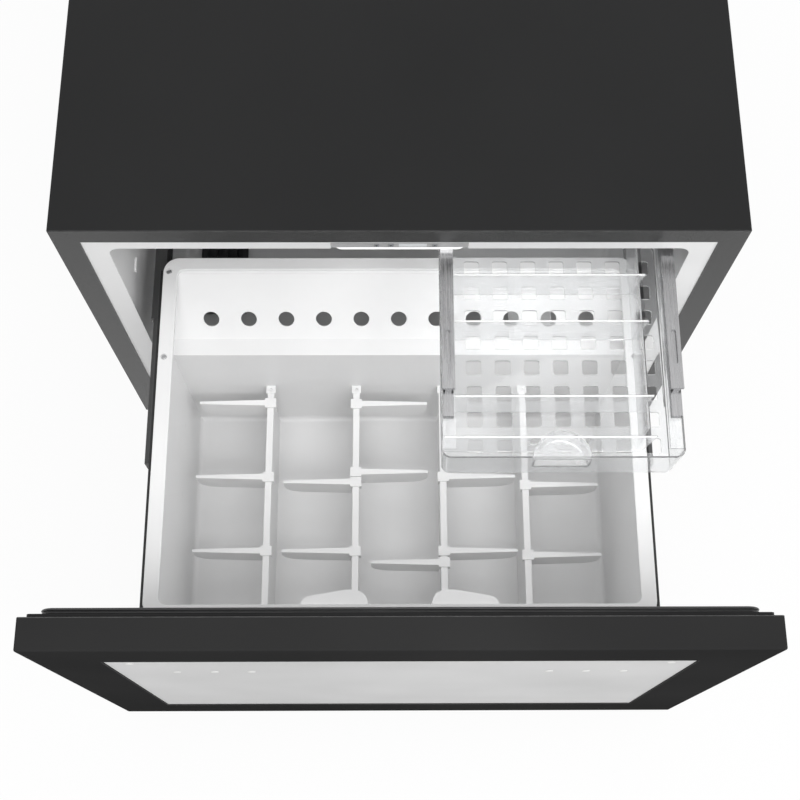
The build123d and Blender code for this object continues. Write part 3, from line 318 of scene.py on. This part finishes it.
# The beads use the partitions' clear styrene made whiter and mostly opaque: a painted highlight for the bright line
# along the partition tops.
painted_highlight_bead = clear_moulding("painted_highlight_bead_styrene", (0.985, 0.987, 0.99), 0.05, 0.96, 0.30)
window_clear = moulded("display_window", (0.80, 0.82, 0.84), (0.72, 0.74, 0.76), 0.10, 0.03, gloss=0.6)
diffuser_white = moulded("light_diffuser_plastic", (0.88, 0.88, 0.88), (0.84, 0.84, 0.84), 0.22, 0.04)
diffuser_shader = next(n for n in diffuser_white.node_tree.nodes if n.type == "BSDF_PRINCIPLED")
diffuser_shader.inputs["Emission Color"].default_value = (1.0, 1.0, 1.0, 1.0)
diffuser_shader.inputs["Emission Strength"].default_value = 0.55
rigid_foam = foam("rigid_cream_foam", (0.72, 0.62, 0.36), (0.60, 0.50, 0.28))

node_finish = {
    "outer_wrapper": cabinet_coat, "front_frame": frame_coat, "inner_liner": liner_white,
    "insulation_foam": rigid_foam, "base_plate": zinc_sheet, "compressor_tray": zinc_sheet,
    "back_panel": zinc_sheet, "rear_grille": zinc_sheet, "back_panel_screws": screw_steel,
    "levelling_feet": foot_black, "air_cover": liner_white, "evaporator_coil": coil_metal,
    "evaporator_fan_housing": fan_grey, "floor_vent": vent_dark, "control_panel": panel_grey,
    "display_window": window_clear, "light_diffuser": diffuser_white, "slide_rails": rail_grey,
    "tray_rails": slide_steel, "compressor": pump_enamel, "compressor_grommets": mount_rubber,
    "drip_pan": foot_black, "condenser_coil": coil_metal, "condenser_fan_housing": fan_grey,
    "filter_dryer": copper_tube, "refrigerant_pipes": copper_tube, "power_inlet": foot_black,
    "slide_arms": slide_black, "door_frame": door_coat, "door_front_sheet": pale_sheet,
    "panel_hole_plugs": plug_white, "door_foam": rigid_foam, "inner_door": lining_black,
    "door_gasket": gasket_black, "bin_shell": bin_white, "bin_trim": painted_shade_trim,
    "trim_screw_heads": screw_steel, "divider_walls": divider_white, "slide_middles": rail_grey,
    "tray_runners": slide_steel, "clear_tray": tray_clear, "tray_partitions": partition_clear,
    "light_button": button_grey, "lower_button": button_grey, "raise_button": button_grey,
    "evaporator_fan": fan_grey, "condenser_fan": fan_grey,
}
for name, node in nodes.items():
    finish = node_finish.get(name, divider_white)
    node.data.materials.clear()
    node.data.materials.append(finish)


# ---------------------------------------------------------------- repeated fittings

class Shaping:
    """A geometry node tree with named sizes that ends in plain, painted faces."""

    def __init__(self, name, **sizes):
        self.tree = bpy.data.node_groups.new(name, "GeometryNodeTree")
        self.tree.interface.new_socket("Places", in_out="INPUT", socket_type="NodeSocketGeometry")
        self.ids = {}
        self.values = sizes
        for size in sizes:
            socket = self.tree.interface.new_socket(size, in_out="INPUT", socket_type="NodeSocketFloat")
            self.ids[size] = socket.identifier
        self.tree.interface.new_socket("Made", in_out="OUTPUT", socket_type="NodeSocketGeometry")
        self.given = self.tree.nodes.new("NodeGroupInput")
        self.result = self.tree.nodes.new("NodeGroupOutput")

    def size(self, name):
        return self.given.outputs[name]

    def node(self, kind, settings=None, **inputs):
        made = self.tree.nodes.new(kind)
        for key, value in (settings or {}).items():
            setattr(made, key, value)
        for key, value in inputs.items():
            self.feed(made.inputs[key.replace("_", " ")], value)
        return made

    def feed(self, socket, value):
        if isinstance(value, bpy.types.NodeSocket):
            self.tree.links.new(value, socket)
        else:
            socket.default_value = value

    def point(self, x=0.0, y=0.0, z=0.0):
        made = self.tree.nodes.new("ShaderNodeCombineXYZ")
        for socket, value in zip(made.inputs, (x, y, z)):
            self.feed(socket, value)
        return made.outputs[0]

    def make(self, geometry, name, places, material):
        real = self.node("GeometryNodeRealizeInstances", Geometry=geometry)
        painted = self.node("GeometryNodeSetMaterial", Geometry=real.outputs[0], Material=material)
        self.tree.links.new(painted.outputs[0], self.result.inputs[0])
        base = bpy.data.meshes.new(name + "_places")
        base.from_pydata(places[0], places[1], [])
        piece = bpy.data.objects.new(name, base)
        scene.collection.objects.link(piece)
        modifier = piece.modifiers.new("shaping", "NODES")
        modifier.node_group = self.tree
        for size, value in self.values.items():
            modifier[self.ids[size]] = float(value)
        evaluated = piece.evaluated_get(bpy.context.evaluated_depsgraph_get())
        mesh = bpy.data.meshes.new_from_object(evaluated)
        piece.modifiers.clear()
        piece.data = mesh
        mesh.name = name
        return piece


def clumps(node):
    """Low and high corners of each small separate solid in a CAD node."""
    found = []
    for vertex in nodes[node].data.vertices:
        for low, high in found:
            if ((low + high) / 2 - vertex.co).length < 0.02:
                for axis in range(3):
                    low[axis] = min(low[axis], vertex.co[axis])
                    high[axis] = max(high[axis], vertex.co[axis])
                break
        else:
            found.append((vertex.co.copy(), vertex.co.copy()))
    return found


def object_from(shape, name):
    """Turn a drawn form into an object with its faces outward."""
    bmesh.ops.recalc_face_normals(shape, faces=shape.faces)
    mesh = bpy.data.meshes.new(name)
    shape.to_mesh(mesh)
    shape.free()
    made = bpy.data.objects.new(name, mesh)
    scene.collection.objects.link(made)
    return made


def crosshead(radius, height):
    """One domed screw head with a cross recess, standing on its seat."""
    shape = bmesh.new()
    facets = 24
    turns = [2 * math.pi * i / facets for i in range(facets)]
    rings = []
    for share, level in ((1.0, 0.0), (1.0, 0.3), (0.93, 0.65), (0.78, 0.9), (0.66, 1.0)):
        reach = share * radius
        ring = [(reach * math.cos(t), reach * math.sin(t), level * height) for t in turns]
        rings.append([shape.verts.new(corner) for corner in ring])
    shape.faces.new(list(reversed(rings[0])))
    for lower, upper in zip(rings, rings[1:]):
        for i in range(facets):
            following = (i + 1) % facets
            shape.faces.new((lower[i], lower[following], upper[following], upper[i]))
    arm, slot_half = 0.52 * radius, 0.12 * radius
    quarter = [(arm, -slot_half), (arm, slot_half), (slot_half, slot_half)]
    cross = []
    for turn in range(4):
        cosine, sine = math.cos(turn * math.pi / 2), math.sin(turn * math.pi / 2)
        cross += [(x * cosine - y * sine, x * sine + y * cosine) for x, y in quarter]
    mouth = [shape.verts.new((x, y, height)) for x, y in cross]
    floor_of_slot = [shape.verts.new((0.7 * x, 0.7 * y, 0.35 * height)) for x, y in cross]
    for i in range(len(mouth)):
        following = (i + 1) % len(mouth)
        shape.faces.new((mouth[i], mouth[following], floor_of_slot[following], floor_of_slot[i]))
    shape.faces.new(floor_of_slot)
    rim = []
    for ring in (rings[-1], mouth):
        rim += [shape.edges.get((ring[i], ring[(i + 1) % len(ring)])) for i in range(len(ring))]
    bmesh.ops.triangle_fill(shape, use_beauty=True, edges=rim)
    return object_from(shape, "crosshead")


def screw_heads(name, node, outward, body, material):
    """Crosshead screws: a domed head with a cross recess, one on each screw of the node."""
    heads = clumps(node)
    low, high = heads[0]
    along = max(range(3), key=lambda axis: abs(outward[axis]))
    across = (along + 1) % 3
    radius = (high[across] - low[across]) / 2
    height = high[along] - low[along]
    head = crosshead(radius, height)
    shape = Shaping(name + "_shape", Size=1.0)
    pattern = shape.node("GeometryNodeObjectInfo", Object=head)
    points = shape.node("GeometryNodeMeshToPoints", Mesh=shape.given.outputs["Places"])
    turned = tuple(Vector(outward).to_track_quat("Z", "Y").to_euler())
    placed = shape.node(
        "GeometryNodeInstanceOnPoints", Points=points.outputs[0], Instance=pattern.outputs["Geometry"],
        Rotation=turned, Scale=shape.point(*[shape.size("Size")] * 3),
    )
    seats = []
    for low, high in heads:
        seat = (low + high) / 2
        seat[along] = low[along] if outward[along] > 0 else high[along]
        seats.append(tuple(seat))
    piece = shape.make(placed.outputs[0], name, (seats, []), material)
    bpy.data.objects.remove(head)
    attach(piece, body)
    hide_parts(node)
    return piece


def bellows_gasket():
    """Magnetic gasket: a ribbed bellows swept round the door."""
    low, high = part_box("door_gasket")
    depth = high.y - low.y
    wide = 0.0170
    middle_x, middle_z = (low.x + high.x) / 2, (low.z + high.z) / 2
    shape = Shaping("gasket_shape", Width=high.x - low.x - wide, Height=high.z - low.z - wide, Corner=0.010)
    loop = shape.node("GeometryNodeCurvePrimitiveQuadrilateral")
    shape.feed(loop.inputs["Width"], shape.size("Width"))
    shape.feed(loop.inputs["Height"], shape.size("Height"))
    rounded = shape.node("GeometryNodeFilletCurve", Curve=loop.outputs[0], Radius=shape.size("Corner"))
    fillet_mode = rounded.inputs.get("Mode")
    if fillet_mode is None:
        rounded.mode = "POLY"
    else:
        fillet_mode.default_value = "Poly"
    rounded.inputs["Count"].default_value = 8
    profile = shape.node("GeometryNodeMeshToCurve", Mesh=shape.given.outputs["Places"])
    swept = shape.node("GeometryNodeCurveToMesh", Curve=rounded.outputs[0])
    shape.feed(swept.inputs["Profile Curve"], profile.outputs[0])
    upright = shape.node(
        "GeometryNodeTransform", Geometry=swept.outputs[0],
        Rotation=(math.pi / 2, 0, 0), Translation=(middle_x, 0.0, middle_z),
    )
    half, y0 = wide / 2, low.y
    section = [
        (half - 0.0030, 0.0), (half - 0.0020, 0.0012), (half - 0.0004, 0.0020), (half, 0.0028),
        (half - 0.0012, 0.0036), (half - 0.0030, 0.0042), (half - 0.0032, 0.0050), (half - 0.0018, 0.0058),
        (half - 0.0012, 0.0068), (half - 0.0018, 0.0080), (half - 0.0034, depth), (0.0018, depth),
        (0.0010, depth - 0.0006), (-0.0010, depth - 0.0006), (-0.0018, depth), (-half + 0.0034, depth),
        (-half + 0.0018, 0.0080), (-half + 0.0012, 0.0060), (-half + 0.0030, 0.0046), (-half + 0.0024, 0.0020),
        (-half + 0.0034, 0.0),
    ]
    corners = [(x, y0 + y, 0.0) for x, y in section]
    edges = [(i, (i + 1) % len(corners)) for i in range(len(corners))]
    gasket = shape.make(upright.outputs[0], "bellows_gasket", (corners, edges), gasket_black)
    for polygon in gasket.data.polygons:
        polygon.use_smooth = True
    return gasket


screw_heads("back_panel_crossheads", "back_panel_screws", (0, 1, 0), "cabinet", screw_steel)
screw_heads("trim_crossheads", "trim_screw_heads", (0, 0, 1), "drawer", screw_steel)


def symbol(name, corners_list, node, body):
    """A raised dark mark on a button's face, from flat outlines in millimetres."""
    low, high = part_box(node)
    middle_x, middle_z = (low.x + high.x) / 2, (low.z + high.z) / 2
    shape = bmesh.new()
    for corners in corners_list:
        front = [shape.verts.new((middle_x + x / 1000, low.y, middle_z + z / 1000)) for x, z in corners]
        shape.faces.new(front)
    for face in list(shape.faces):
        grown = bmesh.ops.extrude_face_region(shape, geom=[face])
        moved = [v for v in grown["geom"] if isinstance(v, bmesh.types.BMVert)]
        bmesh.ops.translate(shape, verts=moved, vec=(0, -0.00012, 0))
    piece = object_from(shape, name)
    piece.data.materials.append(mark_dark)
    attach(piece, body)
    return piece


bulb = [(1.4 * math.cos(t * math.pi / 8), 0.5 + 1.4 * math.sin(t * math.pi / 8)) for t in range(16)]
bulb_foot = [(-0.6, -1.2), (0.6, -1.2), (0.6, -1.9), (-0.6, -1.9)]
arrow_down = [(-1.7, 1.0), (1.7, 1.0), (0.0, -1.4)]
arrow_up = [(-1.7, -1.0), (0.0, 1.4), (1.7, -1.0)]
symbol("light_mark", [bulb, bulb_foot], "light_button", "light_button")
symbol("lower_mark", [arrow_down], "lower_button", "lower_button")
symbol("raise_mark", [arrow_up], "raise_button", "raise_button")


def door_return_flange():
    """Folded return of the door's frame, over the foam's edge round the inner door."""
    frame_low, frame_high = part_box("door_frame")
    lining_low, lining_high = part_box("inner_door")
    edge_set_back, lining_clearance, thickness, turn = 0.0004, 0.0002, 0.0005, 0.0018
    outer, inner = [
        (low.x + inset, high.x - inset, low.z + inset, high.z - inset)
        for low, high, inset in (
            (frame_low, frame_high, edge_set_back), (lining_low, lining_high, -lining_clearance),
        )
    ]
    near, far = frame_high.y, frame_high.y + thickness
    shape = bmesh.new()
    rings = []
    for (x0, x1, z0, z1), y in ((outer, near), (outer, far), (inner, far), (inner, near)):
        corners = []
        for x, z, toward_x, toward_z in ((x0, z0, 1, 1), (x1, z0, -1, 1), (x1, z1, -1, -1), (x0, z1, 1, -1)):
            pair = [(x + toward_x * turn, y, z), (x, y, z + toward_z * turn)]
            corners += pair if toward_x != toward_z else list(reversed(pair))
        rings.append([shape.verts.new(c) for c in corners])
    for ring, following in zip(rings, rings[1:] + rings[:1]):
        for i in range(8):
            shape.faces.new((ring[i], ring[(i + 1) % 8], following[(i + 1) % 8], following[i]))
    piece = object_from(shape, "door_return_flange")
    piece.data.materials.append(door_coat)
    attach(piece, "drawer")
    return piece


door_return_flange()
gasket = bellows_gasket()
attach(gasket, "drawer")
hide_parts("door_gasket")


def partition_beads():
    """Rounded moulded beads on the upper edges of the tray's partitions, in a whiter and less clear styrene as a
    painted highlight along those edges.
    """
    low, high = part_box("tray_partitions")
    tops = [v.co for v in nodes["tray_partitions"].data.vertices if v.co.z > high.z - 0.0002]
    rows = sorted({round(v.y, 3) for v in tops if v.x < low.x + 0.003})
    walls = {}
    for row in rows:
        middle = next((key for key in walls if abs(key - row) < 0.004), row)
        walls.setdefault(middle, []).append(row)
    corners, edges = [], []
    for rows_of_wall in walls.values():
        y = sum(rows_of_wall) / len(rows_of_wall)
        ends = sorted({round(v.x, 3) for v in tops if abs(v.y - y) < 0.002})
        runs = [(ends[0], ends[-1])]
        gap = max(zip(ends, ends[1:]), key=lambda pair: 0 if pair[1] > high.x - 0.02 else pair[1] - pair[0])
        if len(ends) > 3 and 0.06 < gap[1] - gap[0] < 0.09:
            runs = [(ends[0], gap[0]), (gap[1], ends[-1])]
        for start, end in runs:
            edges.append((len(corners), len(corners) + 1))
            corners += [(start + 0.001, y, high.z - 0.0003), (end - 0.001, y, high.z - 0.0003)]
    shape = Shaping("bead_shape", Thickness=0.0011)
    line = shape.node("GeometryNodeMeshToCurve", Mesh=shape.given.outputs["Places"])
    round_section = shape.node("GeometryNodeCurvePrimitiveCircle", Resolution=10)
    shape.feed(round_section.inputs["Radius"], shape.size("Thickness"))
    swept = shape.node("GeometryNodeCurveToMesh", Curve=line.outputs[0])
    shape.feed(swept.inputs["Profile Curve"], round_section.outputs[0])
    swept.inputs["Fill Caps"].default_value = True
    piece = shape.make(swept.outputs[0], "partition_beads", (corners, edges), painted_highlight_bead)
    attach(piece, "tray")
    return piece


partition_beads()

# ---------------------------------------------------------------- studio


def soft_lamp(name, place, aim, width, height, watts):
    light = bpy.data.lights.new(name, "AREA")
    light.shape = "RECTANGLE"
    light.size = width
    light.size_y = height
    light.energy = watts
    lamp = bpy.data.objects.new(name, light)
    scene.collection.objects.link(lamp)
    lamp.location = place
    lamp.rotation_euler = (Vector(aim) - Vector(place)).to_track_quat("-Z", "Y").to_euler()
    return lamp


soft_lamp("front_softbox", (0.45, -1.8, 2.6), (0, -0.15, 0.35), 2.0, 1.6, 43)
soft_lamp("overhead_softbox", (0.1, -0.2, 3.0), (0, 0, 0.3), 2.4, 1.6, 16)
soft_lamp("left_softbox", (-2.6, -0.2, 1.3), (0, 0, 0.3), 1.4, 1.6, 9)
soft_lamp("right_softbox", (2.6, -0.5, 1.4), (0, -0.2, 0.3), 1.4, 1.6, 19)
soft_lamp("back_softbox", (0.0, 2.8, 1.1), (0, 0.4, 0.3), 2.0, 1.0, 10)
diffuser_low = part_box("light_diffuser")[0]
lamp_under = Vector((0.0, diffuser_low.y + 0.012, diffuser_low.z - 0.004))
soft_lamp("cabinet_light", lamp_under, lamp_under + Vector((0, -0.35, -1)), 0.16, 0.02, 0.02)

def seen_by_eye(tree, path):
    """One for the rays that show the room: straight, mirrored or through a clear piece."""
    total = path.outputs["Is Camera Ray"]
    for ray in ("Is Glossy Ray", "Is Transmission Ray"):
        either = tree.nodes.new("ShaderNodeMath")
        either.operation = "MAXIMUM"
        tree.links.new(total, either.inputs[0])
        tree.links.new(path.outputs[ray], either.inputs[1])
        total = either.outputs[0]
    return either


ambient_strength = 0.50
background_strength = 1.0
floor_glow_share = 0.93

world = bpy.data.worlds.new("studio_air")
scene.world = world
world.use_nodes = True
air = world.node_tree
background = next(n for n in air.nodes if n.type == "BACKGROUND")
path = air.nodes.new("ShaderNodeLightPath")
seen = seen_by_eye(air, path)
strength = air.nodes.new("ShaderNodeMapRange")
strength.inputs["To Min"].default_value = ambient_strength
strength.inputs["To Max"].default_value = background_strength
air.links.new(seen.outputs[0], strength.inputs["Value"])
background.inputs["Color"].default_value = (1, 1, 1, 1)
air.links.new(strength.outputs["Result"], background.inputs["Strength"])


def studio_floor():
    sheet = bpy.data.meshes.new("studio_floor")
    reach, level = 14.0, -0.0005
    corners = [(x * reach, y * reach, level) for x, y in ((-1, -1), (1, -1), (1, 1), (-1, 1))]
    sheet.from_pydata(corners, [], [(0, 1, 2, 3)])
    floor = bpy.data.objects.new("studio_floor", sheet)
    scene.collection.objects.link(floor)
    material = bpy.data.materials.new("floor_paper")
    material.use_nodes = True
    tree = material.node_tree
    shader = next(n for n in tree.nodes if n.type == "BSDF_PRINCIPLED")
    shader.inputs["Base Color"].default_value = (0.82, 0.82, 0.82, 1)
    shader.inputs["Roughness"].default_value = 0.9
    shader.inputs["Specular IOR Level"].default_value = 0.1
    glow = tree.nodes.new("ShaderNodeEmission")
    glow.inputs["Strength"].default_value = 1.0
    light_path = tree.nodes.new("ShaderNodeLightPath")
    either = seen_by_eye(tree, light_path)
    share = tree.nodes.new("ShaderNodeMath")
    share.operation = "MULTIPLY"
    share.inputs[1].default_value = floor_glow_share
    tree.links.new(either.outputs[0], share.inputs[0])
    mix = tree.nodes.new("ShaderNodeMixShader")
    tree.links.new(share.outputs[0], mix.inputs[0])
    tree.links.new(shader.outputs[0], mix.inputs[1])
    tree.links.new(glow.outputs[0], mix.inputs[2])
    output = next(n for n in tree.nodes if n.type == "OUTPUT_MATERIAL")
    tree.links.new(mix.outputs[0], output.inputs["Surface"])
    floor.data.materials.append(material)


studio_floor()

# ---------------------------------------------------------------- camera

camera_pitch = math.radians(71.7854)
camera_turn = math.radians(1.2284)
camera_roll = math.radians(1.0704)
camera_place = Vector((-0.01017, -0.75571, 1.97863))
forward = Vector((
    math.sin(camera_turn) * math.cos(camera_pitch),
    math.cos(camera_turn) * math.cos(camera_pitch),
    -math.sin(camera_pitch),
))
level_right = Vector((math.cos(camera_turn), -math.sin(camera_turn), 0))
level_up = level_right.cross(forward)
right = level_right * math.cos(camera_roll) + level_up * math.sin(camera_roll)
up = level_up * math.cos(camera_roll) - level_right * math.sin(camera_roll)
lens = bpy.data.cameras.new("studio_camera")
lens.sensor_width = 36.0
lens.lens = 36.0 * 1211.756 / 800.0
lens.shift_y = 0.0625
camera = bpy.data.objects.new("studio_camera", lens)
scene.collection.objects.link(camera)
turned = Matrix((right, up, -forward)).transposed().to_4x4()
turned.translation = camera_place
camera.matrix_world = turned
scene.camera = camera
scene.view_settings.view_transform = "Standard"
